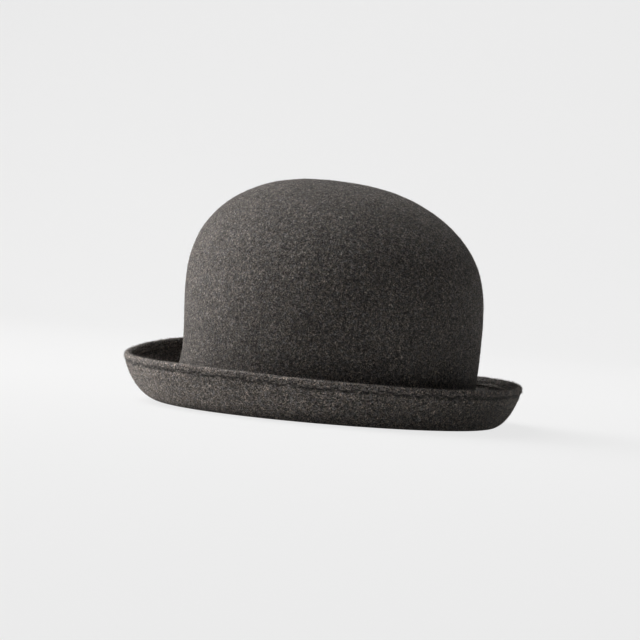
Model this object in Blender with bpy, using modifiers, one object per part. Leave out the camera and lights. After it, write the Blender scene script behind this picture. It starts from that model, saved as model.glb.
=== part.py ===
"""Bowler hat of wool felt: round oval crown, rolled brim with a wired and stitched hem, sweatband and lining.

Metres, +Z up. The front of the hat faces -Y, and the hat stands on the underside of its brim at Z = 0.
"""

from math import atan2, cos, pi, radians, sin

import bmesh
import bpy
from mathutils import Vector

# Crown, outside of the felt
CROWN_LENGTH = 0.2040
CROWN_WIDTH = 0.1730
CROWN_HEIGHT = 0.1462
CROWN_WIDEST_HEIGHT = 0.0735
CROWN_SWELL = 0.0037
CROWN_LEAN_BACK = 0.0064
CROWN_TOP_SLOPE = 0.085
DOME_PLAN_FULLNESS = 2.35
DOME_SIDE_FULLNESS = 2.20

# Felt and the soft bend where the crown runs out into the brim
FELT_THICKNESS = 0.0014
BREAK_HEIGHT_FRONT = 0.0100
BREAK_HEIGHT_SIDE = 0.0180
BREAK_HEIGHT_BACK = 0.0260
BREAK_RUN_FRONT = 0.0080
BREAK_RUN_SIDE = 0.0105
BREAK_RUN_BACK = 0.0130
BREAK_ROUNDNESS = 0.55
REST_RING_WIDTH = 0.0035

# Brim reach from the foot of the crown, and height of the rim over the rest plane
BRIM_REACH_FRONT = 0.0235
BRIM_REACH_SIDE = 0.0360
BRIM_REACH_BACK = 0.0418
RIM_HEIGHT_FRONT = 0.0258
RIM_HEIGHT_FRONT_QUARTER = 0.0268
RIM_HEIGHT_SIDE = 0.0284
RIM_HEIGHT_BACK_QUARTER = 0.0318
RIM_HEIGHT_BACK = 0.0397
RIM_ANGLE = radians(74.0)
CURL_FLATNESS = 0.50
CURL_UPRIGHTNESS = 0.40

# Wired hem and its seam
WIRE_DIAMETER = 0.0006
WIRE_END_GAP = 0.0010
JOINER_WALL = 0.00015
JOINER_LENGTH = 0.0160
JOINER_PLAY = 0.0001
HEM_DEPTH = 0.0062
HEM_STRAIGHT_MARGIN = 0.0008
STITCH_DEPTH = 0.0042
THREAD_DIAMETER = 0.0005

# Sweatband, its reed and bow
SWEATBAND_HEIGHT = 0.0340
SWEATBAND_THICKNESS = 0.0010
SWEATBAND_BUTT_GAP = 0.0006
REED_DIAMETER = 0.0018
SWEATBAND_SEAM_HEIGHT = 0.0025
BOW_LENGTH = 0.0300
BOW_HEIGHT = 0.0110
BOW_WAIST = 0.0050
BOW_PUFF = 0.0012
BOW_THICKNESS = 0.0008
LOOP_OPENING = radians(108.0)
KNOT_LENGTH = 0.0056
KNOT_HEIGHT = 0.0068

# Lining
LINING_THICKNESS = 0.0004
LINING_TUCK = 0.0120
LINING_TIP_CLIMB = radians(45.0)

# Clearance between pieces that touch on the real hat
SEAT_GAP = 0.0003

# Facets
AROUND = 48
DOME_STEPS = 10
WALL_STEPS = 4
BREAK_STEPS = 4
CURL_STEPS = 7
FOLD_STEPS = 5
BAND_STEPS = 3
JOINER_SIDES = 8
BOW_STEPS = 8

# Sizes that follow from the ones above
INNER_HALF_LENGTH = CROWN_LENGTH / 2 - FELT_THICKNESS
INNER_HALF_WIDTH = CROWN_WIDTH / 2 - FELT_THICKNESS
INNER_HEIGHT = CROWN_HEIGHT - FELT_THICKNESS
WIRE_RADIUS = WIRE_DIAMETER / 2
THREAD_RADIUS = THREAD_DIAMETER / 2
REED_RADIUS = REED_DIAMETER / 2
JOINER_RADIUS = WIRE_RADIUS + JOINER_PLAY + JOINER_WALL
FOLD_RADIUS = JOINER_RADIUS + SEAT_GAP + FELT_THICKNESS
HEM_STRAIGHT = HEM_DEPTH - FOLD_RADIUS
HEM_PARALLEL = JOINER_RADIUS + SEAT_GAP
HEM_CLOSING = 2 * (FOLD_RADIUS - FELT_THICKNESS) - SEAT_GAP
FACET_SAG = CROWN_LENGTH / 2 * (1 - cos(pi / AROUND))
LINING_INSET = SEAT_GAP + LINING_THICKNESS
SWEATBAND_INSET = LINING_INSET + SEAT_GAP + SWEATBAND_THICKNESS
SWEATBAND_FOOT = REED_DIAMETER + 2 * SEAT_GAP
SWEATBAND_TOP = SWEATBAND_FOOT + SWEATBAND_HEIGHT
BOW_INSET = SWEATBAND_INSET + SEAT_GAP + FACET_SAG + BOW_THICKNESS
KNOT_INSET = BOW_INSET + SEAT_GAP + BOW_THICKNESS
BACK = pi

FELT = ("wool_felt", (0.070, 0.064, 0.060), 0.95, 0.0)
THREAD = ("sewing_thread", (0.022, 0.020, 0.019), 0.80, 0.0)
STEEL = ("spring_steel", (0.45, 0.45, 0.46), 0.35, 1.0)
LEATHER = ("sweatband_leather", (0.055, 0.032, 0.020), 0.55, 0.0)
REED = ("reed", (0.60, 0.55, 0.45), 0.50, 0.0)
RIBBON = ("bow_ribbon", (0.030, 0.028, 0.027), 0.60, 0.0)
SATIN = ("lining_satin", (0.060, 0.055, 0.052), 0.35, 0.0)


def round_the_hat(turn, values):
    """Smooth value at a turn from the front, through values at even steps from the front to the back."""
    steps = len(values) - 1
    total = 0.0
    for wave in range(steps + 1):
        share = 0.0
        for step, value in enumerate(values):
            weight = 0.5 if step in (0, steps) else 1.0
            share += weight * value * cos(wave * step * pi / steps)
        total += share * cos(wave * turn) * (0.5 if wave in (0, steps) else 1.0)
    return total * 2 / steps


def break_height(turn):
    """Level at which the wall of the crown starts to bend out."""
    return round_the_hat(turn, (BREAK_HEIGHT_FRONT, BREAK_HEIGHT_SIDE, BREAK_HEIGHT_BACK))


def share_up(turn, z, top):
    """How far a level is on the way from the bend up to a top."""
    foot = break_height(turn)
    return max(0.0, (z - foot) / (top - foot))


def crown_point(turn, share, swell, z, inset):
    """Point of the oval crown, which leans back a little and whose top slopes down to the front."""
    x = (INNER_HALF_WIDTH + swell - inset) * share * sin(turn)
    y = -(INNER_HALF_LENGTH + swell - inset) * share * cos(turn)
    rise = share_up(turn, z, INNER_HEIGHT)
    y += CROWN_LEAN_BACK * rise
    return Vector((x, y, z + CROWN_TOP_SLOPE * y * rise ** 2))


def dome_point(turn, climb, inset=0.0):
    """Point on the dome's inner face; climb is 0 at the widest level and a quarter turn at the top."""
    share = max(0.0, cos(climb)) ** (2 / DOME_PLAN_FULLNESS)
    rise = sin(climb) ** (2 / DOME_SIDE_FULLNESS)
    z = CROWN_WIDEST_HEIGHT + (INNER_HEIGHT - inset - CROWN_WIDEST_HEIGHT) * rise
    return crown_point(turn, share, CROWN_SWELL, z, inset)


def wall_point(turn, z, inset=0.0):
    """Point on the side wall's inner face, which widens slowly from the brim up to the dome."""
    rise = share_up(turn, z, CROWN_WIDEST_HEIGHT)
    return crown_point(turn, 1.0, CROWN_SWELL * sin(rise * pi / 2), z, inset)


def band_point(turn, level, inset):
    """Point on the side wall's inner face, at a level over the bend into the brim."""
    return wall_point(turn, break_height(turn) + level, inset)


def brim_point(turn, section):
    """Point of a brim section, given as (way out from the foot of the crown, height)."""
    out, z = section
    foot = Vector((INNER_HALF_WIDTH * sin(turn), -INNER_HALF_LENGTH * cos(turn), 0.0))
    away = Vector((sin(turn) / INNER_HALF_WIDTH, -cos(turn) / INNER_HALF_LENGTH, 0.0)).normalized()
    return foot + away * out + Vector((0.0, 0.0, z))


def rim_frame(turn):
    """Centre of the fold in the brim section, the way up along the hem and the way in to the crown."""
    reach = round_the_hat(turn, (BRIM_REACH_FRONT, BRIM_REACH_SIDE, BRIM_REACH_BACK)) + FELT_THICKNESS
    height = round_the_hat(turn, (
        RIM_HEIGHT_FRONT, RIM_HEIGHT_FRONT_QUARTER, RIM_HEIGHT_SIDE, RIM_HEIGHT_BACK_QUARTER, RIM_HEIGHT_BACK))
    centre = Vector((reach - FOLD_RADIUS, height - FOLD_RADIUS))
    up = Vector((cos(RIM_ANGLE), sin(RIM_ANGLE)))
    inward = Vector((-up.y, up.x))
    return centre, up, inward


def bezier(start, leave, arrive, end, steps):
    """Points of a Bezier curve after its start, up to and with its end."""
    points = []
    for step in range(1, steps + 1):
        u = step / steps
        v = 1 - u
        points.append(v ** 3 * start + 3 * u * v * v * leave + 3 * u * u * v * arrive + u ** 3 * end)
    return points


def brim_section(turn):
    """Underside of the brim from the bend at the crown to the raw edge of the turned hem."""
    centre, up, inward = rim_frame(turn)
    run = round_the_hat(turn, (BREAK_RUN_FRONT, BREAK_RUN_SIDE, BREAK_RUN_BACK))
    bend_start = Vector((0.0, break_height(turn)))
    flat_start = Vector((run, 0.0))
    flat_end = Vector((run + REST_RING_WIDTH, 0.0))
    section = [bend_start]
    section += bezier(bend_start, bend_start * (1 - BREAK_ROUNDNESS), flat_start * (1 - BREAK_ROUNDNESS),
                      flat_start, BREAK_STEPS)
    section.append(flat_end)
    fold_start = centre - inward * FOLD_RADIUS
    hem_line = fold_start - up * (HEM_STRAIGHT + HEM_STRAIGHT_MARGIN)
    leave = flat_end + Vector((CURL_FLATNESS * (hem_line.x - flat_end.x), 0.0))
    arrive = hem_line - up * CURL_UPRIGHTNESS * hem_line.y
    section += bezier(flat_end, leave, arrive, hem_line, CURL_STEPS)
    corner = pi / (2 * FOLD_STEPS)
    for step in range(FOLD_STEPS):
        angle = (2 * step + 1) * corner
        section.append(centre + (up * sin(angle) - inward * cos(angle)) * FOLD_RADIUS / cos(corner))
    fold_end = centre + inward * FOLD_RADIUS
    section.append(fold_end - up * HEM_PARALLEL)
    section.append(fold_end - up * HEM_STRAIGHT - inward * HEM_CLOSING)
    return section


def felt_column(turn):
    """Inner face of the crown from its top, then the underside of the brim."""
    column = [dome_point(turn, pi / 2 * (1 - step / DOME_STEPS)) for step in range(DOME_STEPS + 1)]
    drop = CROWN_WIDEST_HEIGHT - break_height(turn)
    for step in range(1, WALL_STEPS):
        column.append(wall_point(turn, CROWN_WIDEST_HEIGHT - drop * step / WALL_STEPS))
    return column + [brim_point(turn, section) for section in brim_section(turn)]


def turns_round(open_by=0.0):
    """Even turns once round from the back, with the two ends drawn apart for a band that is open there."""
    turns = [BACK + 2 * pi * step / AROUND for step in range(AROUND + 1)]
    turns[0] += open_by / 2
    turns[-1] -= open_by / 2
    return turns


def material(finish):
    name, colour, roughness, metallic = finish
    made = bpy.data.materials.get(name)
    if made is None:
        made = bpy.data.materials.new(name)
        made.use_nodes = True
        shader = made.node_tree.nodes["Principled BSDF"]
        shader.inputs["Base Color"].default_value = (*colour, 1.0)
        shader.inputs["Roughness"].default_value = roughness
        shader.inputs["Metallic"].default_value = metallic
    return made


def placed(name, data, finish):
    """Object of the hat, in its collection and carried by its origin."""
    made = bpy.data.objects.new(name, data)
    made.parent = origin
    data.materials.append(material(finish))
    hat.objects.link(made)
    return made


def sheet(name, columns, thickness, finish):
    """Shell over columns of points, each running down; its thickness lies behind the side that faces the head."""
    across = len(columns) - 1
    down = len(columns[0]) - 1
    grid = bmesh.new()
    bmesh.ops.create_grid(grid, x_segments=across, y_segments=down, size=0.5)
    for vertex in grid.verts:
        column = columns[round((vertex.co.x + 0.5) * across)]
        vertex.co = column[round((vertex.co.y + 0.5) * down)]
    bmesh.ops.remove_doubles(grid, verts=grid.verts, dist=0.000001)
    mesh = bpy.data.meshes.new(name)
    grid.to_mesh(mesh)
    grid.free()
    mesh.shade_smooth()
    mesh.set_sharp_from_angle(angle=radians(50.0))
    shell = placed(name, mesh, finish)
    solidify = shell.modifiers.new("thickness", "SOLIDIFY")
    solidify.thickness = thickness
    solidify.offset = -1.0
    solidify.use_even_offset = True
    solidify.use_quality_normals = True
    return shell


def strand(name, points, radius, finish, closed, sides_step):
    """Round wire or thread along points."""
    curve = bpy.data.curves.new(name, "CURVE")
    curve.dimensions = "3D"
    curve.twist_mode = "Z_UP"
    curve.bevel_depth = radius
    curve.bevel_resolution = sides_step
    curve.use_fill_caps = True
    spline = curve.splines.new("POLY")
    spline.points.add(len(points) - 1)
    for point, place in zip(spline.points, points):
        point.co = (*place, 1.0)
    spline.use_cyclic_u = closed
    return placed(name, curve, finish)


def make_felt_body():
    sheet("felt_body", [felt_column(turn) for turn in turns_round()], FELT_THICKNESS, FELT)


def make_brim_wire():
    """Wire in the fold, open at the back, and the tube that its two ends are pushed into."""
    end_angle = WIRE_END_GAP / (INNER_HALF_WIDTH + BRIM_REACH_BACK)
    points = [brim_point(turn, rim_frame(turn)[0]) for turn in turns_round(end_angle)]
    strand("brim_wire", points, WIRE_RADIUS, STEEL, False, 1)
    facet = (points[2] - points[1]).length
    rings = []
    for share in (-1.0, 0.0, 1.0):
        along = abs(share) * JOINER_LENGTH / 2 / facet
        next_turn = BACK + share * 2 * pi / AROUND
        rings.append([joiner_point(next_turn, along, 2 * pi * step / JOINER_SIDES)
                      for step in range(JOINER_SIDES + 1)])
    sheet("brim_wire_joiner", rings, JOINER_WALL, STEEL)


def joiner_point(next_turn, along, angle):
    """Point round the tube, on the straight facet of the rim that runs from the back to the next turn."""
    ends = []
    for turn in (BACK, next_turn):
        centre, up, inward = rim_frame(turn)
        ends.append(brim_point(turn, centre + (up * sin(angle) + inward * cos(angle)) * JOINER_RADIUS))
    return ends[0].lerp(ends[1], along)


def make_hem_threads():
    """Needle thread on the outer side of the hem and bobbin thread on the turned edge."""
    outer = []
    inner = []
    below_fold = STITCH_DEPTH - FOLD_RADIUS
    off = SEAT_GAP + THREAD_RADIUS
    closing_length = HEM_STRAIGHT - HEM_PARALLEL
    drawn_in = HEM_CLOSING * max(0.0, below_fold - HEM_PARALLEL) / closing_length
    inner_off = FOLD_RADIUS - drawn_in + off / cos(atan2(HEM_CLOSING, closing_length))
    for turn in turns_round()[:-1]:
        centre, up, inward = rim_frame(turn)
        down = centre - up * below_fold
        outer.append(brim_point(turn, down - inward * (FOLD_RADIUS + off)))
        inner.append(brim_point(turn, down + inward * inner_off))
    strand("hem_needle_thread", outer, THREAD_RADIUS, THREAD, True, 0)
    strand("hem_bobbin_thread", inner, THREAD_RADIUS, THREAD, True, 0)


def make_sweatband():
    """Leather band with its reed below and the thread that sews it in."""
    butt_angle = SWEATBAND_BUTT_GAP / INNER_HALF_WIDTH
    columns = []
    for turn in turns_round(butt_angle):
        levels = [SWEATBAND_TOP - SWEATBAND_HEIGHT * step / BAND_STEPS for step in range(BAND_STEPS + 1)]
        columns.append([band_point(turn, level, SWEATBAND_INSET) for level in levels])
    sheet("sweatband", columns, SWEATBAND_THICKNESS, LEATHER)
    reed_inset = SWEATBAND_INSET - SWEATBAND_THICKNESS / 2
    reed_level = SEAT_GAP + REED_RADIUS
    reed = [band_point(turn, reed_level, reed_inset) for turn in turns_round(butt_angle)]
    strand("sweatband_reed", reed, REED_RADIUS, REED, False, 1)
    seam_inset = SWEATBAND_INSET + SEAT_GAP + THREAD_RADIUS
    seam_level = SWEATBAND_FOOT + SWEATBAND_SEAM_HEIGHT
    seam = [band_point(turn, seam_level, seam_inset) for turn in turns_round()[:-1]]
    strand("sweatband_thread", seam, THREAD_RADIUS, THREAD, True, 0)


def bow_column(along, height, inset, puff):
    """Three points down the ribbon at a way along from the middle of the back."""
    turn = BACK + along / INNER_HALF_WIDTH
    middle = SWEATBAND_FOOT + SWEATBAND_HEIGHT / 2
    return [
        band_point(turn, middle + height / 2, inset),
        band_point(turn, middle, inset + puff),
        band_point(turn, middle - height / 2, inset),
    ]


def loop_fullness(share):
    """How far a loop has opened at a share of the way out from the knot."""
    return sin(abs(share) * LOOP_OPENING)


def make_bow():
    """Ribbon bow over the butt joint: two loops that swell from a narrow waist, and a knot round it."""
    loops = []
    for step in range(BOW_STEPS + 1):
        share = 2 * step / BOW_STEPS - 1
        height = BOW_WAIST + (BOW_HEIGHT - BOW_WAIST) * loop_fullness(share)
        loops.append(bow_column(share * BOW_LENGTH / 2, height, BOW_INSET, BOW_PUFF * loop_fullness(share)))
    sheet("bow_loops", loops, BOW_THICKNESS, RIBBON)
    knot_puff = BOW_PUFF * loop_fullness(KNOT_LENGTH / BOW_LENGTH)
    knot = [bow_column(share * KNOT_LENGTH / 2, KNOT_HEIGHT, KNOT_INSET, knot_puff) for share in (-1, 0, 1)]
    sheet("bow_knot", knot, BOW_THICKNESS, RIBBON)


def make_lining():
    """Satin tip over the top of the crown, and the side piece whose lower edge is behind the sweatband."""
    seam_half = SEAT_GAP / 2 / (INNER_HEIGHT - CROWN_WIDEST_HEIGHT)
    step_climb = pi / 2 / DOME_STEPS
    climbs = [pi / 2 - step * step_climb for step in range(DOME_STEPS + 1)]
    tip_climbs = [climb for climb in climbs if climb > LINING_TIP_CLIMB + step_climb / 4]
    tip_climbs.append(LINING_TIP_CLIMB + seam_half)
    side_climbs = [climb for climb in climbs if climb < LINING_TIP_CLIMB - step_climb / 4]
    side_climbs.insert(0, LINING_TIP_CLIMB - seam_half)
    tip = []
    side = []
    for turn in turns_round():
        tip.append([dome_point(turn, climb, LINING_INSET) for climb in tip_climbs])
        drop = CROWN_WIDEST_HEIGHT - break_height(turn) - SWEATBAND_TOP + LINING_TUCK
        wall = [CROWN_WIDEST_HEIGHT - drop * step / BAND_STEPS for step in range(1, BAND_STEPS + 1)]
        side.append([dome_point(turn, climb, LINING_INSET) for climb in side_climbs])
        side[-1] += [wall_point(turn, level, LINING_INSET) for level in wall]
    sheet("lining_tip", tip, LINING_THICKNESS, SATIN)
    sheet("lining_side", side, LINING_THICKNESS, SATIN)


for left in list(bpy.data.objects):
    bpy.data.objects.remove(left, do_unlink=True)

hat = bpy.data.collections.new("bowler_hat")
bpy.context.scene.collection.children.link(hat)
origin = bpy.data.objects.new("hat_origin", None)
origin.location.y = (BRIM_REACH_FRONT - BRIM_REACH_BACK) / 2
hat.objects.link(origin)

make_felt_body()
make_brim_wire()
make_hem_threads()
make_sweatband()
make_bow()
make_lining()
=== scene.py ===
"""Looks of a rolled-brim bowler hat: fuzzy wool felt, stitched and wired hem, sweatband, bow, lining."""

import random
from math import atan2, cos, exp, pi, radians, sin

import bmesh
import bpy
from mathutils import Matrix, Vector, noise
from mathutils.bvhtree import BVHTree
from mathutils.kdtree import KDTree


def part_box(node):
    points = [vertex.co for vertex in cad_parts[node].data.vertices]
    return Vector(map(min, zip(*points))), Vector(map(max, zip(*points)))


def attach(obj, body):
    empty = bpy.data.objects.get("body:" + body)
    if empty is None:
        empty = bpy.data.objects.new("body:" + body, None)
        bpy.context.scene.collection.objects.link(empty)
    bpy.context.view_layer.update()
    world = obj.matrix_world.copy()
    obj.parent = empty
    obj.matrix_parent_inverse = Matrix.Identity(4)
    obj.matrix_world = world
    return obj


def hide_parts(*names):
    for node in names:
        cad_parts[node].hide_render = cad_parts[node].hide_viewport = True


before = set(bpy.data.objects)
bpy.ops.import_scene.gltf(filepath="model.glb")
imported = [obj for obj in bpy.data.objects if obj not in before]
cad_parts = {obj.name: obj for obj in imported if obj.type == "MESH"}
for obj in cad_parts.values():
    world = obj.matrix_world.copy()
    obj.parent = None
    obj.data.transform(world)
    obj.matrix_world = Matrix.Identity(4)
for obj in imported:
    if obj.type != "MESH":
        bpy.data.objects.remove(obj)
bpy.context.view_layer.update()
band_low, band_high = (Vector(corner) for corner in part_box("sweatband"))
tip_low, tip_high = (Vector(corner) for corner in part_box("lining_tip"))

# View of the photograph, in a picture of 640 by 640 points
PICTURE_SIDE = 640
VIEW_AZIMUTH = radians(-30.0)
VIEW_ELEVATION = radians(1.3)
VIEW_ROLL = radians(4.35)
VIEW_DISTANCE = 1.8
POINTS_PER_METRE = 1593.0
AIM = Vector((0.0, -0.00915, 0.065))
AIM_POINT_X = 334.7
AIM_POINT_Y = 311.3
SENSOR_WIDTH = 36.0

# Making quads of the CAD nodes' triangles
MERGE_DISTANCE = 0.00001
QUAD_FACE_ANGLE = radians(50)
QUAD_SHAPE_ANGLE = radians(60)

# Felt
HAT_MIDDLE = Vector((0.0, -0.006, 0.05))
FELT_LEVELS = 2
HEM_CUTS = 1
HEM_ZONE = 0.0032
HEM_EDGE_RISE = 0.0022
RIM_CUTS = 2
RIM_ZONE = 0.0065
RIM_LENGTHWISE = 0.7
UNEVEN_REACH = 0.045
UNEVEN_HEIGHT = 0.0007
UNEVEN_PLACE = Vector((3.1, 7.7, 1.9))
RIPPLE_REACH = 0.011
RIPPLE_HEIGHT = 0.00016
RIPPLE_PLACE = Vector((9.3, 2.2, 5.4))
FIRM_FOOT = 0.010
PUCKER_REACH = 0.0045
PUCKER_HEIGHT = 0.00028
PUCKER_PLACE = Vector((4.2, 8.8, 0.7))
FRAY_REACH = 0.0019
FRAY_HEIGHT = 0.00024
FRAY_PLACE = Vector((1.7, 3.3, 6.1))

# Soft flare at the foot of the crown, from the sides round the back
FLARE = 0.0044
FLARE_LEVEL = 0.026
FLARE_FADE = 0.0125
FLARE_FOOT = 0.012
FLARE_START = radians(75.0)
FLARE_FULL = radians(115.0)
FLARE_WAY_OUT = 1.2
FLARE_LEAST_OUTWARDS = 0.05
FLARE_LEAST_UPWARDS = -0.12
FLARE_TOP = FLARE_LEVEL + 5 * FLARE_FADE

# Painted light and shade: 0 is the crown's, below 0 painted shade, 1 painted light; the crown's on the mesh
# is next
CROWN_PAINT_LEVEL = 0.5
BRIM_START = 1.06
BRIM_FULL = 1.16
INNER_BRIM_PAINTED_SHADE = -0.3
OUTER_BRIM_PAINTED_LIGHT = 0.55
OUTSIDE_LEAN = (-0.1, 0.15)
RIM_FULL = 0.0024
RIM_END = 0.0044
RIM_OUTWARDS = (-0.4, 0.2)
RIM_UPWARDS = (0.0, 0.5)
RIM_SIDE_PAINTED_LIGHT = 0.6
RIM_LEAST = 0.05
# Painted shade along the sewn seam: full within the first distance, gone by the second
SEAM_SHADE_FULL = 0.0003
SEAM_SHADE_END = 0.0010

# Seams; places on a node's ring that lie closer than one step belong together
RING_STEP = radians(1.5)
CURVE_PARTS = 12
RING_POINTS = 400
SEAM_POINTS = 1600
WIRE_POINTS = 900
HEM_STITCH = 0.0047
HEM_STITCH_SHARE = 0.80
HEM_THREAD_RADIUS = 0.00027
GROOVE_DEPTH = 0.00075
GROOVE_HALF_WIDTH = 0.0014
HEM_STITCH_LIFT = 0.00012
BAND_STITCH = 0.0036
BAND_STITCH_LIFT = 0.0001
STITCH_SIDES = 6
STITCH_CUTS = 5
STITCH_SWING = 0.05
STITCH_LENGTHS = (0.94, 1.04)
STITCH_DIVE = 2.4
STITCH_SLIMMING = 0.45
PULL_STEPS = 8
PULL_MEAN = 0.78
PULL_SWING = 0.22

# Inside
REED_RADIUS = 0.0009
REED_POINTS = 240
GATHERS = 46
GATHER_DEPTH = 0.0022
GATHER_CUTS = 2
GATHER_LENGTHWISE = 0.8
GATHER_MEAN = 0.7
GATHER_SWING = 0.5
GATHER_WANDER = 2.5
WANDER_ROUND = 3
WANDER_OUT = 2.0
GATHER_START = (1.0, 1.05)
GATHER_END = (1.08, 1.28)
TIP_FULLNESS = 2.35
TIP_LAP = 0.0032
TIP_LAP_RISE = 0.00045
TIP_EDGE = (0.92, 0.975)
TIP_SLOPE = 0.7
CREASE_WIDTH = 0.0026
CREASE_DEPTH = 0.00022
CREASE_REACH = 0.0055
EMBOSSED_LEVELS = (0.0300, 0.0318)

# Loose fibres
FIBRES = 13000
RIM_FIBRES = 10000
FIBRE_LENGTH = 0.0013
FIBRE_WIDTH = 0.00008
FIBRE_LENGTHS = (0.5, 1.4)
FIBRE_BEND = 0.6
FIBRE_RIDGE = 1.6
FIBRE_FLOOR = 0.004
FIBRE_FRINGE = 0.0029
FIBRE_WAY_OUT = 1.02
LOOSE_RISE = (0.3, 0.9)
RIM_RISE = (0.4, 1.3)

# Directions of the picture on the floor
AWAY = Vector((-sin(VIEW_AZIMUTH), cos(VIEW_AZIMUTH), 0.0))
ASIDE = Vector((cos(VIEW_AZIMUTH), sin(VIEW_AZIMUTH), 0.0))

# Paper sweep; to the camera it is darker paper with a glow, listed by metres from the key lamp's foot
PAPER = 0.75
PAPER_SEEN = 0.10
PAPER_GLOW = ((0.0, 0.55), (0.5, 0.60), (1.0, 0.68), (1.5, 0.755), (1.8, 0.768))
GLOW_REACH = 2.0
SWEEP_START = 1.6
SWEEP_RADIUS = 1.2
SWEEP_STEPS = 24
SWEEP_NEAR = -4.0
SWEEP_TOP = 4.0
SWEEP_HALF_WIDTH = 5.0
SWEEP_DROP = 0.0002

# Light; the key lamp's place is how far it is to the picture's right, up and towards the camera
KEY_SIDE = -1.55
KEY_HEIGHT = 0.60
KEY_NEAR = -0.95
WALL_AIM_HEIGHT = 0.6
WHITE = (1.0, 1.0, 1.0)
WORLD_LIGHT = 0.025
WORLD_SEEN = 0.72


# Tools of the bench


def deselect():
    bpy.ops.object.select_all(action="DESELECT")


def work_on(piece):
    deselect()
    piece.select_set(True)
    bpy.context.view_layer.objects.active = piece


def edit_all(piece):
    work_on(piece)
    bpy.ops.object.mode_set(mode="EDIT")
    bpy.ops.mesh.select_mode(type="VERT")
    bpy.ops.mesh.select_all(action="SELECT")


def leave_edit():
    bpy.ops.object.mode_set(mode="OBJECT")


def apply_subdivision(piece, levels):
    work_on(piece)
    smooth = piece.modifiers.new("smooth", "SUBSURF")
    smooth.levels = levels
    smooth.render_levels = levels
    bpy.ops.object.modifier_apply(modifier="smooth")
    bpy.ops.object.shade_smooth()


def copy_of_node(node, name):
    """Own mesh of a CAD node as merged quads, ready to be refined."""
    piece = bpy.data.objects.new(name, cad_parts[node].data.copy())
    bpy.context.scene.collection.objects.link(piece)
    piece.data.materials.clear()
    edit_all(piece)
    bpy.ops.mesh.remove_doubles(threshold=MERGE_DISTANCE)
    bpy.ops.mesh.customdata_custom_splitnormals_clear()
    bpy.ops.mesh.tris_convert_to_quads(face_threshold=QUAD_FACE_ANGLE, shape_threshold=QUAD_SHAPE_ANGLE)
    bpy.ops.mesh.normals_make_consistent(inside=False)
    leave_edit()
    return piece


def piece_from(name, build):
    """New piece whose mesh a function fills."""
    mesh = bpy.data.meshes.new(name)
    work = bmesh.new()
    build(work)
    work.to_mesh(mesh)
    work.free()
    piece = bpy.data.objects.new(name, mesh)
    bpy.context.scene.collection.objects.link(piece)
    mesh.shade_smooth()
    return piece


def hand_over(piece, finish, slot, *nodes):
    """Gives a finished piece its material, hangs it on the root body and hides the CAD nodes it stands for.
    """
    piece.data.materials.clear()
    piece.data.materials.append(finish)
    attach(piece, "root")
    if nodes:
        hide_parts(*nodes)
    return piece


# Seam lines


def ring_of(node):
    """Centre line of a thread, wire or reed node, as points in order round the hat."""
    found = sorted((atan2(v.co.x, v.co.y), tuple(v.co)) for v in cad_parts[node].data.vertices)
    groups = [[found[0]]]
    for entry in found[1:]:
        if entry[0] - groups[-1][-1][0] > RING_STEP:
            groups.append([])
        groups[-1].append(entry)
    if found[0][0] + 2 * pi - found[-1][0] < RING_STEP:
        groups[0] += groups.pop()
    line = []
    for group in groups:
        corners = {tuple(round(value, 6) for value in place) for _, place in group}
        line.append(sum((Vector(corner) for corner in corners), Vector()) / len(corners))
    return line


def smooth_ring(points, count):
    """A closed curve through points, read at evenly spaced places along its length."""
    fine = []
    total = len(points)
    for index in range(total):
        before, here, after, beyond = (points[(index + k) % total] for k in (-1, 0, 1, 2))
        for part in range(CURVE_PARTS):
            u = part / CURVE_PARTS
            fine.append(0.5 * (2 * here + (after - before) * u
                               + (2 * before - 5 * here + 4 * after - beyond) * u * u
                               + (3 * here - before - 3 * after + beyond) * u ** 3))
    lengths = [0.0]
    for index in range(len(fine)):
        lengths.append(lengths[-1] + (fine[(index + 1) % len(fine)] - fine[index]).length)
    even = []
    at = 0
    for index in range(count):
        goal = lengths[-1] * index / count
        while lengths[at + 1] < goal:
            at += 1
        share = (goal - lengths[at]) / (lengths[at + 1] - lengths[at])
        even.append(fine[at].lerp(fine[(at + 1) % len(fine)], share))
    return even


def ring_length(points):
    return sum((points[index] - points[index - 1]).length for index in range(len(points)))


# Felt


def uneven(place):
    """The small hand-blocked unevenness of the hat at a place, the same for all its layers."""
    firm = min(1.0, max(0.0, place.z) / FIRM_FOOT) ** 2
    slow = noise.noise(place / UNEVEN_REACH + UNEVEN_PLACE)
    quick = noise.noise(place / RIPPLE_REACH + RIPPLE_PLACE)
    return (place - HAT_MIDDLE).normalized() * firm * (slow * UNEVEN_HEIGHT + quick * RIPPLE_HEIGHT)


def make_uneven(piece):
    for vertex in piece.data.vertices:
        vertex.co += uneven(vertex.co)


def nearest_to(places):
    tree = KDTree(len(places))
    for index, place in enumerate(places):
        tree.insert(place, index)
    tree.balance()
    return tree


def cut_edges(piece, wanted, cuts):
    """Subdivides the edges that a test picks."""
    edit_all(piece)
    bpy.ops.mesh.select_all(action="DESELECT")
    bpy.ops.mesh.select_mode(type="EDGE")
    work = bmesh.from_edit_mesh(piece.data)
    for edge in work.edges:
        edge.select = wanted(edge)
    bmesh.update_edit_mesh(piece.data)
    bpy.ops.mesh.subdivide(number_cuts=cuts, quadcorner="STRAIGHT_CUT")
    leave_edit()


def refine_hem(piece, rings):
    """Cuts extra rows across both sides of the hem, where the seam draws the felt in."""
    near = nearest_to([place for ring in rings for place in ring])

    def upright(edge):
        low, high = (vertex.co for vertex in edge.verts)
        return abs(high.z - low.z) > HEM_EDGE_RISE and near.find((low + high) / 2)[2] < HEM_ZONE

    cut_edges(piece, upright, HEM_CUTS)


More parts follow.
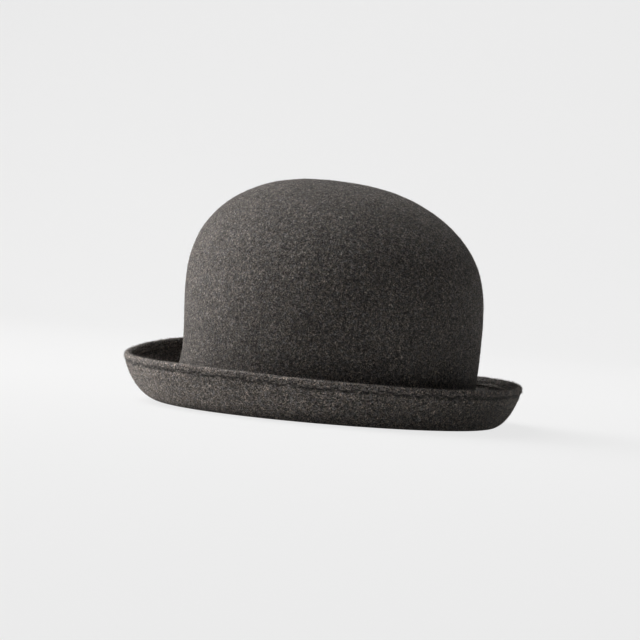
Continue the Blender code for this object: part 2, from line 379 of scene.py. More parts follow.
def refine_rim(piece, wire):
    """Cuts extra columns round the outside of the hem, for its puckers."""
    near = nearest_to(wire)

    def round_the_rim(edge):
        start, end = (vertex.co for vertex in edge.verts)
        middle = (start + end) / 2
        place, _, far = near.find(middle)
        if far > RIM_ZONE:
            return False
        normal = edge.verts[0].normal + edge.verts[1].normal
        lengthwise = Vector((-middle.y, middle.x, 0.0)).normalized()
        along = abs((end - start).normalized().dot(lengthwise))
        return along > RIM_LENGTHWISE and normal.dot(middle - place) > 0

    cut_edges(piece, round_the_rim, RIM_CUTS)


def smooth_step(value, start, end):
    share = min(1.0, max(0.0, (value - start) / (end - start)))
    return share * share * (3 - 2 * share)


def in_plan(place):
    """Share of the way out to the sweatband's outer oval, and the turn from the front."""
    middle = (band_low + band_high) / 2
    x = place.x / (band_high.x - middle.x)
    y = (place.y - middle.y) / (band_high.y - middle.y)
    return (x * x + y * y) ** 0.5, atan2(abs(x), -y)


def flare_foot(piece):
    """Fills the bend at the foot of the crown, where the soft felt sweeps out towards the brim."""
    normals = [vertex.normal.copy() for vertex in piece.data.vertices]
    for vertex, normal in zip(piece.data.vertices, normals):
        if not FLARE_FOOT < vertex.co.z < FLARE_TOP:
            continue
        outwards = Vector((vertex.co.x, vertex.co.y, 0.0)).normalized()
        way_out, turn = in_plan(vertex.co)
        if normal.dot(outwards) < FLARE_LEAST_OUTWARDS or normal.z < FLARE_LEAST_UPWARDS:
            continue
        if way_out > FLARE_WAY_OUT:
            continue
        share = exp(-max(0.0, vertex.co.z - FLARE_LEVEL) / FLARE_FADE)
        share *= smooth_step(vertex.co.z, FLARE_FOOT, FLARE_LEVEL)
        share *= smooth_step(turn, FLARE_START, FLARE_FULL)
        vertex.co += normal * FLARE * share


def sink_seam(piece, ring, pitch):
    """Draws the felt in along a seam, deepest under the middle of each stitch."""
    count = round(ring_length(ring) / pitch)
    places = smooth_ring(ring, count * PULL_STEPS)
    near = nearest_to(places)
    normals = [vertex.normal.copy() for vertex in piece.data.vertices]
    for vertex, normal in zip(piece.data.vertices, normals):
        place, index, far = near.find(vertex.co)
        if far > 2 * GROOVE_HALF_WIDTH:
            continue
        side = vertex.co - place
        if side.dot(normal) > 0:
            continue
        along = side - normal * side.dot(normal)
        share = max(0.0, 1 - (along.length / GROOVE_HALF_WIDTH) ** 2) ** 2
        pull = PULL_MEAN + PULL_SWING * cos(2 * pi * index / PULL_STEPS)
        vertex.co -= normal * GROOVE_DEPTH * share * pull


def pucker_hem(piece, wire):
    """Small puckers and a fraying unevenness on the outside of the hem."""
    near = nearest_to(wire)
    normals = [vertex.normal.copy() for vertex in piece.data.vertices]
    for vertex, normal in zip(piece.data.vertices, normals):
        place, _, far = near.find(vertex.co)
        if far > RIM_ZONE or normal.dot(vertex.co - place) < 0:
            continue
        bump_up = noise.noise(vertex.co / PUCKER_REACH + PUCKER_PLACE) * PUCKER_HEIGHT
        bump_up += noise.noise(vertex.co / FRAY_REACH + FRAY_PLACE) * FRAY_HEIGHT
        vertex.co += normal * bump_up * smooth_step(RIM_ZONE - far, 0.0, RIM_ZONE / 2)


def mark_painted_light(piece, wire, seam):
    """Painted light: most on the rim, much outside the brim; painted shade inside the brim and in the seam.
    """
    near_wire = nearest_to(wire)
    near_seam = nearest_to(seam)
    shares = []
    for vertex in piece.data.vertices:
        # Painted light on the outside of the brim and the upward side of the rim, painted shade inside the
        # brim
        outside = smooth_step(-vertex.normal.z, *OUTSIDE_LEAN)
        brim = INNER_BRIM_PAINTED_SHADE + (OUTER_BRIM_PAINTED_LIGHT - INNER_BRIM_PAINTED_SHADE) * outside
        brim *= smooth_step(in_plan(vertex.co)[0], BRIM_START, BRIM_FULL)
        rim = 1 - smooth_step(near_wire.find(vertex.co)[2], RIM_FULL, RIM_END)
        outwards = Vector((vertex.co.x, vertex.co.y, 0.0)).normalized()
        rim *= smooth_step(vertex.normal.dot(outwards), *RIM_OUTWARDS)
        rim *= RIM_SIDE_PAINTED_LIGHT + (1 - RIM_SIDE_PAINTED_LIGHT) * smooth_step(vertex.normal.z, *RIM_UPWARDS)
        painted_share = max(brim, rim) if rim > RIM_LEAST else brim
        # Painted shade in the sewn groove: the colour darkens along the seam line
        line_mask = 1 - smooth_step(near_seam.find(vertex.co)[2], SEAM_SHADE_FULL, SEAM_SHADE_END)
        shares.append(max(0.0, CROWN_PAINT_LEVEL + (1 - CROWN_PAINT_LEVEL) * painted_share - line_mask))
    painted_light_and_shade = piece.data.attributes.new("painted_light_and_shade", "FLOAT", "POINT")
    painted_light_and_shade.data.foreach_set("value", shares)


def make_felt(outer_ring, inner_ring, wire):
    felt = copy_of_node("felt_body", "felt_crown_and_brim")
    refine_hem(felt, (smooth_ring(outer_ring, RING_POINTS), smooth_ring(inner_ring, RING_POINTS)))
    apply_subdivision(felt, FELT_LEVELS)
    refine_rim(felt, wire)
    flare_foot(felt)
    sink_seam(felt, outer_ring, HEM_STITCH)
    sink_seam(felt, inner_ring, HEM_STITCH)
    pucker_hem(felt, wire)
    make_uneven(felt)
    felt_now = surface_of(felt)
    seam = [felt_now.find_nearest(place)[0] for place in smooth_ring(outer_ring, SEAM_POINTS)]
    mark_painted_light(felt, wire, seam)
    felt.data.shade_smooth()
    return felt


def surface_of(piece):
    work = bmesh.new()
    work.from_mesh(piece.data)
    tree = BVHTree.FromBMesh(work)
    work.free()
    return tree


# Stitches


def stitch_form():
    """One stitch along X, one unit long and one unit in radius, with ends that dive into the cloth."""
    deselect()
    bpy.ops.mesh.primitive_cylinder_add(vertices=STITCH_SIDES, radius=1.0, depth=1.0,
                                        rotation=(0, radians(90), 0))
    form = bpy.context.object
    bpy.ops.object.transform_apply(location=False, rotation=True, scale=False)
    bpy.ops.object.mode_set(mode="EDIT")
    bpy.ops.mesh.select_all(action="DESELECT")
    bpy.ops.mesh.select_mode(type="EDGE")
    work = bmesh.from_edit_mesh(form.data)
    for edge in work.edges:
        edge.select = abs(edge.verts[0].co.x - edge.verts[1].co.x) > 0.5
    bmesh.update_edit_mesh(form.data)
    bpy.ops.mesh.subdivide(number_cuts=STITCH_CUTS)
    leave_edit()
    for vertex in form.data.vertices:
        reach = abs(vertex.co.x) * 2
        slim = 1 - STITCH_SLIMMING * reach ** 4
        vertex.co.y *= slim
        vertex.co.z = vertex.co.z * slim - STITCH_DIVE * reach ** 3
    mesh = form.data
    bpy.data.objects.remove(form)
    return mesh


def make_stitches(name, ring, surface, pitch, share, radius, lift):
    """A row of separate stitches that lie on a surface along a seam line."""
    count = round(ring_length(ring) / pitch)
    places = smooth_ring(ring, count * 2)
    form = stitch_form()
    shake = random.Random(len(name))

    def build(work):
        for index in range(count):
            middle, normal, _, _ = surface.find_nearest(places[2 * index])
            if normal.dot(places[2 * index] - middle) < 0:
                normal = -normal
            ahead = places[(2 * index + 1) % len(places)] - places[2 * index - 1]
            along = (ahead - normal * ahead.dot(normal)).normalized()
            across = normal.cross(along)
            turn = Matrix((along, across, normal)).transposed().to_4x4()
            swing = Matrix.Rotation(shake.uniform(-STITCH_SWING, STITCH_SWING), 4, "Z")
            length = pitch * share * shake.uniform(*STITCH_LENGTHS)
            size = Matrix.Diagonal((length, radius, radius, 1.0))
            start = len(work.verts)
            work.from_mesh(form)
            work.verts.ensure_lookup_table()
            new = work.verts[start:]
            move = Matrix.Translation(middle + normal * lift) @ turn @ swing @ size
            bmesh.ops.transform(work, matrix=move, verts=new)

    return piece_from(name, build)


# Fibres that stand off the felt


def make_fibres(name, felt, count, wanted, rises):
    """Short curved wool fibres on the faces that a test picks, thin enough to read as the felt's fuzz."""
    felt.data.calc_loop_triangles()
    triangles = [triangle for triangle in felt.data.loop_triangles if wanted(triangle)]
    places = [vertex.co for vertex in felt.data.vertices]
    draw = random.Random(len(name))
    chosen = draw.choices(triangles, weights=[triangle.area for triangle in triangles], k=count)

    def build(work):
        for triangle in chosen:
            corner = [places[vertex] for vertex in triangle.vertices]
            u, v = draw.random(), draw.random()
            if u + v > 1:
                u, v = 1 - u, 1 - v
            root = corner[0] + (corner[1] - corner[0]) * u + (corner[2] - corner[0]) * v
            normal = triangle.normal
            spin = draw.uniform(0, 2 * pi)
            flat = normal.orthogonal().normalized()
            along = flat * cos(spin) + normal.cross(flat) * sin(spin)
            across = normal.cross(along)
            length = FIBRE_LENGTH * draw.uniform(*FIBRE_LENGTHS)
            rise = draw.uniform(*rises)
            bend = draw.uniform(-FIBRE_BEND, FIBRE_BEND)
            rows = []
            for share in (0.0, 0.5):
                line = root + along * length * share + across * length * bend * share * share
                line += normal * (length * rise * share * (1 - 0.5 * share) - FIBRE_WIDTH * (1 - 2 * share))
                half = FIBRE_WIDTH / 2
                rows.append([work.verts.new(line + across * half), work.verts.new(line - across * half),
                             work.verts.new(line + normal * half * FIBRE_RIDGE)])
            end = root + along * length + across * length * bend + normal * length * rise * 0.5
            tip = work.verts.new(end)
            for side in range(3):
                following = (side + 1) % 3
                work.faces.new((rows[0][side], rows[0][following], rows[1][following], rows[1][side]))
                work.faces.new((rows[1][side], rows[1][following], tip))
            work.faces.new(reversed(rows[0]))

    fibres = piece_from(name, build)
    edit_all(fibres)
    bpy.ops.mesh.normals_make_consistent(inside=False)
    leave_edit()
    return fibres


def make_nap(felt, wire):
    """Fibres all over the outside of the felt, and a thick fringe of them over the rim."""
    near = nearest_to(wire)

    def outside(triangle):
        place = triangle.center
        if place.z < FIBRE_FLOOR:
            return False
        return in_plan(place)[0] > FIBRE_WAY_OUT or triangle.normal.dot(place - HAT_MIDDLE) > 0

    def over_the_rim(triangle):
        place, _, far = near.find(triangle.center)
        return far < FIBRE_FRINGE and triangle.normal.dot(triangle.center - place) > 0

    return [make_fibres("felt_loose_fibres", felt, FIBRES, outside, LOOSE_RISE),
            make_fibres("felt_rim_fibres", felt, RIM_FIBRES, over_the_rim, RIM_RISE)]


# Inside of the hat


def make_band(node, name, levels):
    piece = copy_of_node(node, name)
    apply_subdivision(piece, levels)
    make_uneven(piece)
    return piece


def mark_rise(piece, foot):
    """Height of each point of the sweatband over its foot, for the lines embossed along it."""
    near = nearest_to([Vector((place.x, place.y, 0.0)) for place in foot])
    rises = []
    for vertex in piece.data.vertices:
        below = near.find((vertex.co.x, vertex.co.y, 0.0))[1]
        rises.append(vertex.co.z - foot[below].z)
    rise = piece.data.attributes.new("rise", "FLOAT", "POINT")
    rise.data.foreach_set("value", rises)


def make_reed(ring):
    """Round reed under the lower edge of the sweatband."""
    line = bpy.data.curves.new("reed_line", "CURVE")
    line.dimensions = "3D"
    line.bevel_depth = REED_RADIUS
    line.bevel_resolution = 3
    places = smooth_ring(ring, REED_POINTS)
    spline = line.splines.new("POLY")
    spline.points.add(len(places) - 1)
    for point, place in zip(spline.points, places):
        point.co = (*place, 1.0)
    spline.use_cyclic_u = True
    reed = bpy.data.objects.new("covered_reed", line)
    bpy.context.scene.collection.objects.link(reed)
    work_on(reed)
    bpy.ops.object.convert(target="MESH")
    reed = bpy.context.object
    make_uneven(reed)
    reed.data.shade_smooth()
    return reed


def from_tip(place):
    """Share of the way out to the seam between the lining's tip and side, and the turn round the hat."""
    middle = (tip_low + tip_high) / 2
    x = place.x / (tip_high.x - middle.x)
    y = (place.y - middle.y) / (tip_high.y - middle.y)
    return (abs(x) ** TIP_FULLNESS + abs(y) ** TIP_FULLNESS) ** (1 / TIP_FULLNESS), atan2(x, y)


def make_lining_side():
    """Satin side of the lining, gathered along its upper edge into the seam of the tip."""
    side = copy_of_node("lining_side", "satin_lining_side")
    apply_subdivision(side, levels=1)

    def round_the_hat(edge):
        start, end = (vertex.co for vertex in edge.verts)
        lengthwise = Vector((-start.y, start.x, 0.0)).normalized()
        return abs((end - start).normalized().dot(lengthwise)) > GATHER_LENGTHWISE

    cut_edges(side, round_the_hat, GATHER_CUTS)
    for vertex in side.data.vertices:
        out, turn = from_tip(vertex.co)
        share = smooth_step(out, *GATHER_START) * (1 - smooth_step(out, *GATHER_END))
        wander = noise.noise(Vector((WANDER_ROUND * cos(turn), WANDER_ROUND * sin(turn), WANDER_OUT * out)))
        fold = 0.5 + 0.5 * cos(GATHERS * turn + GATHER_WANDER * wander)
        depth = GATHER_DEPTH * share * fold * (GATHER_MEAN + GATHER_SWING * wander)
        vertex.co += (HAT_MIDDLE - vertex.co).normalized() * depth
    make_uneven(side)
    side.data.shade_smooth()
    return side


def make_lining_tip():
    """Satin tip of the lining, whose edge laps over the side."""
    tip = make_band("lining_tip", "satin_lining_tip", levels=2)
    middle = (tip_low + tip_high) / 2
    upwards = Vector((0.0, 0.0, 1.0))
    for vertex in tip.data.vertices:
        share = smooth_step(from_tip(vertex.co)[0], *TIP_EDGE)
        outwards = Vector((vertex.co.x, vertex.co.y - middle.y, 0.0)).normalized()
        vertex.co += (outwards - upwards) * TIP_SLOPE * TIP_LAP * share
        vertex.co -= (outwards + upwards) * TIP_SLOPE * TIP_LAP_RISE * share
    tip.data.shade_smooth()
    return tip


def make_bow_loops():
    """Ribbon loops with creases that run into the knot."""
    loops = make_band("bow_loops", "ribbon_bow_loops", levels=3)
    low, high = (Vector(corner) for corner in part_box("bow_loops"))
    level = (low.z + high.z) / 2
    for vertex in loops.data.vertices:
        reach = exp(-abs(vertex.co.x) / CREASE_REACH)
        slant = (vertex.co.z - level) / (1 + abs(vertex.co.x) / CREASE_REACH)
        vertex.co.y += CREASE_DEPTH * reach * cos(2 * pi * slant / CREASE_WIDTH)
    loops.data.shade_smooth()
    return loops


# Shader node groups


def new_group(name, inputs, outputs):
    group = bpy.data.node_groups.new(name, "ShaderNodeTree")
    for socket, kind, value in inputs:
        made = group.interface.new_socket(socket, in_out="INPUT", socket_type=kind)
        made.default_value = value
    for socket, kind in outputs:
        group.interface.new_socket(socket, in_out="OUTPUT", socket_type=kind)
    return group, group.nodes.new("NodeGroupInput"), group.nodes.new("NodeGroupOutput")


def add_node(tree, kind, **values):
    made = tree.nodes.new(kind)
    for name, value in values.items():
        if hasattr(made, name):
            setattr(made, name, value)
        else:
            made.inputs[name.replace("_", " ")].default_value = value
    return made


def grain_noise(tree, vector, scale, detail, roughness, distortion):
    made = add_node(tree, "ShaderNodeTexNoise", Scale=scale, Detail=detail, Roughness=roughness,
                    Distortion=distortion)
    tree.links.new(vector, made.inputs["Vector"])
    return made.outputs["Fac"]


def ramp(tree, value, stops):
    made = tree.nodes.new("ShaderNodeValToRGB")
    elements = made.color_ramp.elements
    while len(elements) < len(stops):
        elements.new(0.5)
    for element, (place, colour) in zip(elements, stops):
        element.position = place
        element.color = colour if len(colour) == 4 else (*colour, 1.0)
    tree.links.new(value, made.inputs["Fac"])
    return made.outputs["Color"]


def grey(level):
    return (level, level, level)


def maths(tree, operation, first, second):
    made = tree.nodes.new("ShaderNodeMath")
    made.operation = operation
    for socket, value in zip(made.inputs, (first, second)):
        if isinstance(value, (int, float)):
            socket.default_value = value
        else:
            tree.links.new(value, socket)
    return made.outputs[0]


def mixed(tree, blend, share, first, second):
    made = tree.nodes.new("ShaderNodeMix")
    made.data_type = "RGBA"
    made.blend_type = blend
    sockets = {"share": made.inputs[0], "first": made.inputs[6], "second": made.inputs[7]}
    for name, value in (("share", share), ("first", first), ("second", second)):
        if isinstance(value, (int, float)):
            sockets[name].default_value = value
        elif isinstance(value, tuple):
            sockets[name].default_value = value if len(value) == 4 else (*value, 1.0)
        else:
            tree.links.new(value, sockets[name])
    return made.outputs[2]


def stretched(tree, vector, turn, scale):
    made = add_node(tree, "ShaderNodeMapping")
    made.inputs["Rotation"].default_value = turn
    made.inputs["Scale"].default_value = scale
    tree.links.new(vector, made.inputs["Vector"])
    return made.outputs["Vector"]


def wool_lines(tree, vector, turn, scale, width):
    """Thin winding fibres: a mask that is 1 along the middle level of a noise."""
    laid = stretched(tree, vector, turn, (scale, scale, scale))
    level = grain_noise(tree, laid, scale=1.0, detail=1.0, roughness=0.5, distortion=0.6)
    away = maths(tree, "ABSOLUTE", maths(tree, "SUBTRACT", level, 0.5), 0.0)
    return ramp(tree, away, [(0.0, grey(1.0)), (width, grey(0.0))])


def largest(tree, values):
    result = values[0]
    for value in values[1:]:
        result = maths(tree, "MAXIMUM", result, value)
    return result


def matted_wool():
    """Winding fibres of several greys felted together: a colour and a height."""
    group, given, result = new_group(
        "matted_wool",
        [("Vector", "NodeSocketVector", (0, 0, 0)),
         ("Dark", "NodeSocketColor", (0.03, 0.03, 0.03, 1)),
         ("Middle", "NodeSocketColor", (0.07, 0.07, 0.07, 1)),
         ("Light", "NodeSocketColor", (0.2, 0.2, 0.2, 1)),
         ("Cool", "NodeSocketColor", (0.2, 0.2, 0.2, 1))],
        [("Color", "NodeSocketColor"), ("Height", "NodeSocketFloat")])
    vector = given.outputs["Vector"]
    light_lays = (((0.4, 0.9, 0.3), 860), ((1.3, 0.2, 2.1), 1050), ((2.2, 1.5, 0.8), 1250))
    dark_lays = (((2.9, 0.6, 1.7), 940), ((0.8, 2.4, 2.6), 1200))
    light = largest(group, [wool_lines(group, vector, *lay, width=0.055) for lay in light_lays])
    dark = largest(group, [wool_lines(group, vector, *lay, width=0.075) for lay in dark_lays])
    grain = grain_noise(group, vector, scale=2000.0, detail=1.0, roughness=0.6, distortion=0.7)
    tuft = grain_noise(group, vector, scale=600.0, detail=3.0, roughness=0.6, distortion=1.0)
    patch = grain_noise(group, vector, scale=60.0, detail=3.0, roughness=0.6, distortion=0.6)
    dye = grain_noise(group, vector, scale=520.0, detail=2.0, roughness=0.6, distortion=0.0)
    dyed = ramp(group, dye, [(0.42, grey(0.0)), (0.60, grey(1.0))])
    yarn = mixed(group, "MIX", dyed, given.outputs["Light"], given.outputs["Cool"])
    shown = maths(group, "MULTIPLY", light, ramp(group, tuft, [(0.35, grey(0.15)), (0.65, grey(1.0))]))
    hidden = maths(group, "MULTIPLY", dark, ramp(group, tuft, [(0.35, grey(1.0)), (0.65, grey(0.3))]))
    ground = mixed(group, "MIX", hidden, given.outputs["Middle"], given.outputs["Dark"])
    flecked = mixed(group, "MIX", shown, ground, yarn)
    grains = ramp(group, grain, [(0.40, grey(0.0)), (0.60, grey(2.4))])
    patches = ramp(group, patch, [(0.3, grey(0.84)), (0.7, grey(1.14))])
    grained = mixed(group, "MULTIPLY", 1.0, flecked, grains)
    patched = mixed(group, "MULTIPLY", 1.0, grained, patches)
    height = maths(group, "ADD", maths(group, "MULTIPLY", light, 0.35), maths(group, "MULTIPLY", grain, 0.6))
    height = maths(group, "ADD", height, maths(group, "MULTIPLY", tuft, 0.8))
    group.links.new(patched, result.inputs["Color"])
    group.links.new(height, result.inputs["Height"])
    return group


def new_material(name, roughness, **settings):
    made = bpy.data.materials.new(name)
    made.use_nodes = True
    shader = made.node_tree.nodes["Principled BSDF"]
    shader.inputs["Roughness"].default_value = roughness
    for socket, value in settings.items():
        shader.inputs[socket.replace("_", " ")].default_value = value
    place = made.node_tree.nodes.new("ShaderNodeTexCoord").outputs["Object"]
    return made, made.node_tree, shader, place


def bump(tree, shader, height, strength, distance):
    made = add_node(tree, "ShaderNodeBump", Strength=strength, Distance=distance)
    tree.links.new(height, made.inputs["Height"])
    tree.links.new(made.outputs["Normal"], shader.inputs["Normal"])


def felt_material(group):
    made, tree, shader, place = new_material(
        "wool_felt", roughness=0.95, Specular_IOR_Level=0.15, Sheen_Weight=0.14, Sheen_Roughness=0.30,
        Sheen_Tint=(1.0, 0.93, 0.87, 1.0))
    wool = tree.nodes.new("ShaderNodeGroup")
    wool.node_tree = group
    wool.inputs["Dark"].default_value = (0.005, 0.005, 0.005, 1.0)
    wool.inputs["Middle"].default_value = (0.0415, 0.0374, 0.0344, 1.0)
    wool.inputs["Light"].default_value = (0.56, 0.487, 0.425, 1.0)
    wool.inputs["Cool"].default_value = (0.34, 0.327, 0.327, 1.0)
    tree.links.new(place, wool.inputs["Vector"])
    # Painted light and shade: the felt colour is multiplied by a factor read from the mesh, up to about
    # twice as light
    painted_light_and_shade = add_node(tree, "ShaderNodeAttribute", attribute_name="painted_light_and_shade").outputs["Fac"]
    painted_light_factor = ramp(tree, painted_light_and_shade, [(0.0, grey(0.5)), (CROWN_PAINT_LEVEL, grey(1.0)), (1.0, (2.1, 2.06, 2.03))])
    colour = mixed(tree, "MULTIPLY", 1.0, wool.outputs["Color"], painted_light_factor)
    tree.links.new(colour, shader.inputs["Base Color"])
    bump(tree, shader, wool.outputs["Height"], strength=1.0, distance=0.0018)
    return made


def fibre_material():
    made, tree, shader, place = new_material(
        "loose_wool", roughness=0.9, Specular_IOR_Level=0.2, Sheen_Weight=0.2)
    shade = grain_noise(tree, place, scale=900.0, detail=1.0, roughness=0.5, distortion=0.0)
    wools = [(0.35, (0.05, 0.046, 0.043)), (0.52, (0.15, 0.138, 0.128)), (0.68, (0.38, 0.34, 0.305))]
    colour = ramp(tree, shade, wools)
    tree.links.new(colour, shader.inputs["Base Color"])
    return made


def thread_material():
    made, tree, shader, place = new_material(
        "sewing_thread", roughness=0.7, Specular_IOR_Level=0.3, Sheen_Weight=0.1)
    shade = grain_noise(tree, place, scale=2500.0, detail=1.0, roughness=0.5, distortion=0.5)
    colour = ramp(tree, shade, [(0.35, (0.005, 0.005, 0.005)), (0.65, (0.020, 0.018, 0.017))])
    tree.links.new(colour, shader.inputs["Base Color"])
    bump(tree, shader, shade, strength=0.5, distance=0.0001)
    return made


def embossed_line(tree, rise, level):
    """Mask that is 1 along a thin line at one height of the sweatband."""
    away = maths(tree, "ABSOLUTE", maths(tree, "SUBTRACT", rise, level), 0.0)
    return ramp(tree, maths(tree, "MULTIPLY", away, 1000.0), [(0.15, grey(1.0)), (0.45, grey(0.0))])


def leather_material():
    made, tree, shader, place = new_material("sweatband_leather", roughness=0.5, Specular_IOR_Level=0.4)
    cells = add_node(tree, "ShaderNodeTexVoronoi", Scale=1400.0)
    tree.links.new(place, cells.inputs["Vector"])
    shade = grain_noise(tree, place, scale=120.0, detail=4.0, roughness=0.6, distortion=0.4)
    colour = ramp(tree, shade, [(0.3, (0.030, 0.017, 0.011)), (0.7, (0.062, 0.036, 0.022))])
    tree.links.new(colour, shader.inputs["Base Color"])
    tree.links.new(ramp(tree, shade, [(0.3, grey(0.42)), (0.7, grey(0.62))]), shader.inputs["Roughness"])
    rise = add_node(tree, "ShaderNodeAttribute", attribute_name="rise").outputs["Fac"]
    line_mask = maths(tree, "ADD", *(embossed_line(tree, rise, level) for level in EMBOSSED_LEVELS))
    grain = maths(tree, "MULTIPLY", cells.outputs["Distance"], 0.4)
    bump(tree, shader, maths(tree, "SUBTRACT", grain, line_mask), strength=0.45, distance=0.0004)
    return made


def satin_material():
    made, tree, shader, place = new_material(
        "lining_satin", roughness=0.38, Specular_IOR_Level=0.5, Sheen_Weight=0.3)
    woven = stretched(tree, place, turn=(0, 0, 0), scale=(900, 900, 6000))
    threads = grain_noise(tree, woven, scale=1.0, detail=2.0, roughness=0.5, distortion=0.0)
    colour = ramp(tree, threads, [(0.3, (0.036, 0.033, 0.031)), (0.7, (0.070, 0.064, 0.060))])
    tree.links.new(colour, shader.inputs["Base Color"])
    bump(tree, shader, threads, strength=0.25, distance=0.0001)
    return made


def ribbon_material():
    made, tree, shader, place = new_material(
        "bow_ribbon", roughness=0.6, Specular_IOR_Level=0.35, Sheen_Weight=0.25)
    ribs = add_node(tree, "ShaderNodeTexWave", wave_type="BANDS", bands_direction="X", Scale=420.0,
                    Distortion=0.2)
    tree.links.new(place, ribs.inputs["Vector"])
    colour = ramp(tree, ribs.outputs["Fac"], [(0.2, (0.016, 0.015, 0.0145)), (0.8, (0.042, 0.039, 0.037))])
    tree.links.new(colour, shader.inputs["Base Color"])
    bump(tree, shader, ribs.outputs["Fac"], strength=0.5, distance=0.0002)
    return made


def reed_material():
    made, tree, shader, place = new_material("reed", roughness=0.55)
    shade = grain_noise(tree, place, scale=300.0, detail=3.0, roughness=0.6, distortion=0.5)
    colour = ramp(tree, shade, [(0.3, (0.40, 0.35, 0.27)), (0.7, (0.58, 0.52, 0.42))])
    tree.links.new(colour, shader.inputs["Base Color"])
    return made


def wire_material():
    made, tree, shader, place = new_material("spring_steel", roughness=0.35, Metallic=1.0)
    shade = grain_noise(tree, place, scale=800.0, detail=3.0, roughness=0.6, distortion=0.2)
    colour = ramp(tree, shade, [(0.3, grey(0.36)), (0.7, grey(0.52))])
    tree.links.new(colour, shader.inputs["Base Color"])
    tree.links.new(ramp(tree, shade, [(0.3, grey(0.28)), (0.7, grey(0.42))]), shader.inputs["Roughness"])
    return made


# Studio


def make_stage():
    """Pale paper sweep: a floor that curves up into a wall behind the hat."""
    profile = [(SWEEP_NEAR, 0.0), (SWEEP_START, 0.0)]
    for step in range(1, SWEEP_STEPS + 1):
        angle = step / SWEEP_STEPS * pi / 2
        profile.append((SWEEP_START + SWEEP_RADIUS * sin(angle), SWEEP_RADIUS * (1 - cos(angle))))
    profile.append((SWEEP_START + SWEEP_RADIUS, SWEEP_TOP))

    def build(work):
        rows = []
        for out, up in profile:
            rows.append([work.verts.new(AWAY * out + ASIDE * side + Vector((0, 0, up - SWEEP_DROP)))
                         for side in (-SWEEP_HALF_WIDTH, SWEEP_HALF_WIDTH)])
        for low, high in zip(rows, rows[1:]):
            work.faces.new((low[0], low[1], high[1], high[0]))

    sweep = piece_from("paper_sweep", build)
    sweep.data.materials.append(paper_material(ASIDE * KEY_SIDE - AWAY * KEY_NEAR))


def paper_material(lamp_foot):
    """Paper that glows less to the camera near the foot of the key lamp, where the lamp lights it most."""
    made = bpy.data.materials.new("pale_paper")
    made.use_nodes = True
    tree = made.node_tree
    tree.nodes.clear()
    paper = add_node(tree, "ShaderNodeBsdfDiffuse", Color=(*grey(PAPER), 1.0))
    shown = add_node(tree, "ShaderNodeBsdfDiffuse", Color=(*grey(PAPER_SEEN), 1.0))
    glow = add_node(tree, "ShaderNodeEmission", Color=(*WHITE, 1.0))
    path = tree.nodes.new("ShaderNodeLightPath")
    seen = maths(tree, "MAXIMUM", path.outputs["Is Camera Ray"], path.outputs["Is Glossy Ray"])
    seen = maths(tree, "MAXIMUM", seen, path.outputs["Is Transmission Ray"])
    out = add_node(tree, "ShaderNodeVectorMath", operation="DISTANCE")
    tree.links.new(tree.nodes.new("ShaderNodeTexCoord").outputs["Object"], out.inputs[0])
    out.inputs[1].default_value = lamp_foot
    share = maths(tree, "DIVIDE", out.outputs["Value"], GLOW_REACH)
    stops = [(metres / GLOW_REACH, grey(level)) for metres, level in PAPER_GLOW]
    tree.links.new(ramp(tree, share, stops), glow.inputs["Strength"])
    lit = tree.nodes.new("ShaderNodeAddShader")
    tree.links.new(shown.outputs[0], lit.inputs[0])
    tree.links.new(glow.outputs[0], lit.inputs[1])
    both = tree.nodes.new("ShaderNodeMixShader")
    tree.links.new(seen, both.inputs[0])
    tree.links.new(paper.outputs[0], both.inputs[1])
    tree.links.new(lit.outputs[0], both.inputs[2])
    result = tree.nodes.new("ShaderNodeOutputMaterial")
    tree.links.new(both.outputs[0], result.inputs["Surface"])
    return made


def soft_lamp(name, side, height, towards_camera, size, power, colour=WHITE, facing=AIM):
    """Area lamp that faces the hat or a given place, placed by how far it is to the right, up and near."""
    lamp = bpy.data.lights.new(name, "AREA")
    lamp.shape = "RECTANGLE"
    lamp.size, lamp.size_y = size
    lamp.energy = power
    lamp.color = colour
    holder = bpy.data.objects.new(name, lamp)
    holder.location = ASIDE * side - AWAY * towards_camera + Vector((0, 0, height))
    holder.rotation_euler = (facing - holder.location).to_track_quat("-Z", "Y").to_euler()
    holder.visible_camera = False
    bpy.context.scene.collection.objects.link(holder)


def make_light():
    soft_lamp("key_window", KEY_SIDE, KEY_HEIGHT, KEY_NEAR, size=(1.3, 1.1), power=40.0,
              colour=(1.0, 0.985, 0.97))
    soft_lamp("top_soft", side=-1.0, height=1.5, towards_camera=-0.5, size=(1.0, 1.0), power=36.0)
    soft_lamp("front_fill", side=-1.0, height=0.5, towards_camera=1.7, size=(1.2, 1.2), power=5.5)
    soft_lamp("edge_soft", side=1.5, height=0.7, towards_camera=-1.6, size=(1.0, 1.0), power=6.0)
    wall = AWAY * (SWEEP_START + SWEEP_RADIUS) + Vector((0, 0, WALL_AIM_HEIGHT))
    soft_lamp("wall_wash", side=0.0, height=2.2, towards_camera=-1.2, size=(2.4, 0.8), power=10.0,
              facing=wall)
    world = bpy.data.worlds.new("studio")
    bpy.context.scene.world = world
    world.use_nodes = True
    tree = world.node_tree
    sky = tree.nodes["Background"]
    sky.inputs["Color"].default_value = (*WHITE, 1.0)
    path = tree.nodes.new("ShaderNodeLightPath")
    seen = maths(tree, "MULTIPLY", path.outputs["Is Camera Ray"], WORLD_SEEN)
    tree.links.new(maths(tree, "ADD", seen, WORLD_LIGHT), sky.inputs["Strength"])


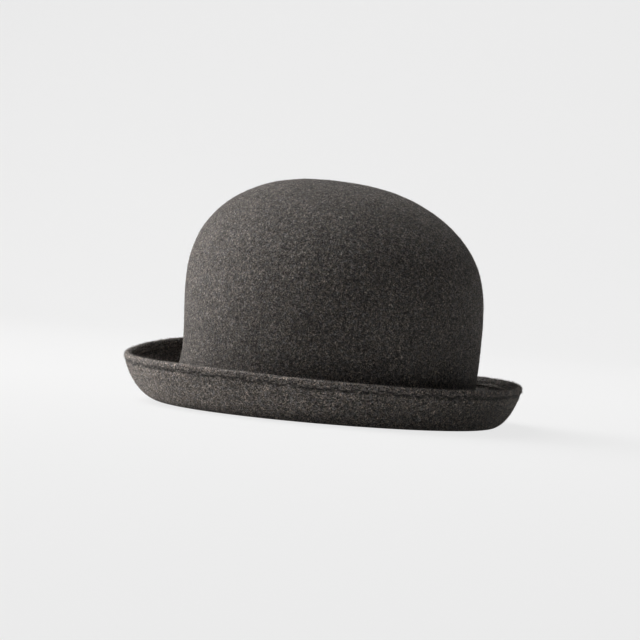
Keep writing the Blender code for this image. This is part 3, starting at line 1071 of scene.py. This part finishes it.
def make_camera():
    azimuth, elevation = VIEW_AZIMUTH, VIEW_ELEVATION
    back = Vector((sin(azimuth) * cos(elevation), -cos(azimuth) * cos(elevation), sin(elevation)))
    lens = bpy.data.cameras.new("photo_view")
    lens.sensor_width = SENSOR_WIDTH
    lens.lens = POINTS_PER_METRE * VIEW_DISTANCE / PICTURE_SIDE * SENSOR_WIDTH
    camera = bpy.data.objects.new("photo_view", lens)
    turned = back.to_track_quat("Z", "Y").to_matrix() @ Matrix.Rotation(VIEW_ROLL, 3, "Z")
    right, up = turned.col[0], turned.col[1]
    offset = right * (AIM_POINT_X - PICTURE_SIDE / 2) - up * (AIM_POINT_Y - PICTURE_SIDE / 2)
    place = AIM + back * VIEW_DISTANCE - offset / POINTS_PER_METRE
    camera.matrix_world = Matrix.Translation(place) @ turned.to_4x4()
    bpy.context.scene.collection.objects.link(camera)
    bpy.context.scene.camera = camera


# Assembly

needle_ring = ring_of("hem_needle_thread")
bobbin_ring = ring_of("hem_bobbin_thread")
wire_ring = smooth_ring(ring_of("brim_wire"), WIRE_POINTS)
felt = make_felt(needle_ring, bobbin_ring, wire_ring)
felt_surface = surface_of(felt)
hand_over(felt, felt_material(matted_wool()), "wool_felt", "felt_body")

thread = thread_material()
needle = make_stitches("hem_needle_stitches", needle_ring, felt_surface, HEM_STITCH, HEM_STITCH_SHARE,
                       HEM_THREAD_RADIUS, HEM_STITCH_LIFT)
hand_over(needle, thread, "sewing_thread", "hem_needle_thread")
bobbin = make_stitches("hem_bobbin_stitches", bobbin_ring, felt_surface, HEM_STITCH, HEM_STITCH_SHARE,
                       HEM_THREAD_RADIUS, HEM_STITCH_LIFT)
hand_over(bobbin, thread, "sewing_thread", "hem_bobbin_thread")

loose_wool = fibre_material()
for fibres in make_nap(felt, wire_ring):
    hand_over(fibres, loose_wool, "wool_felt")

band = make_band("sweatband", "leather_sweatband", levels=2)
reed_ring = ring_of("sweatband_reed")
mark_rise(band, smooth_ring(reed_ring, RING_POINTS))
band_surface = surface_of(band)
hand_over(band, leather_material(), "sweatband_leather", "sweatband")
band_stitches = make_stitches("sweatband_stitches", ring_of("sweatband_thread"), band_surface, BAND_STITCH,
                              HEM_STITCH_SHARE, HEM_THREAD_RADIUS, BAND_STITCH_LIFT)
hand_over(band_stitches, thread, "sewing_thread", "sweatband_thread")

hand_over(make_reed(reed_ring), reed_material(), "reed", "sweatband_reed")

satin = satin_material()
lining_side = hand_over(make_lining_side(), satin, "lining_satin", "lining_side")
lining_tip = hand_over(make_lining_tip(), satin, "lining_satin", "lining_tip")

ribbon = ribbon_material()
hand_over(make_bow_loops(), ribbon, "bow_ribbon", "bow_loops")
hand_over(make_band("bow_knot", "ribbon_bow_knot", levels=2), ribbon, "bow_ribbon", "bow_knot")

steel = wire_material()
for node_name in ("brim_wire", "brim_wire_joiner"):
    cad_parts[node_name].data.materials.clear()
    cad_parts[node_name].data.materials.append(steel)

make_stage()
make_light()
make_camera()
bpy.context.scene.view_settings.view_transform = "Standard"
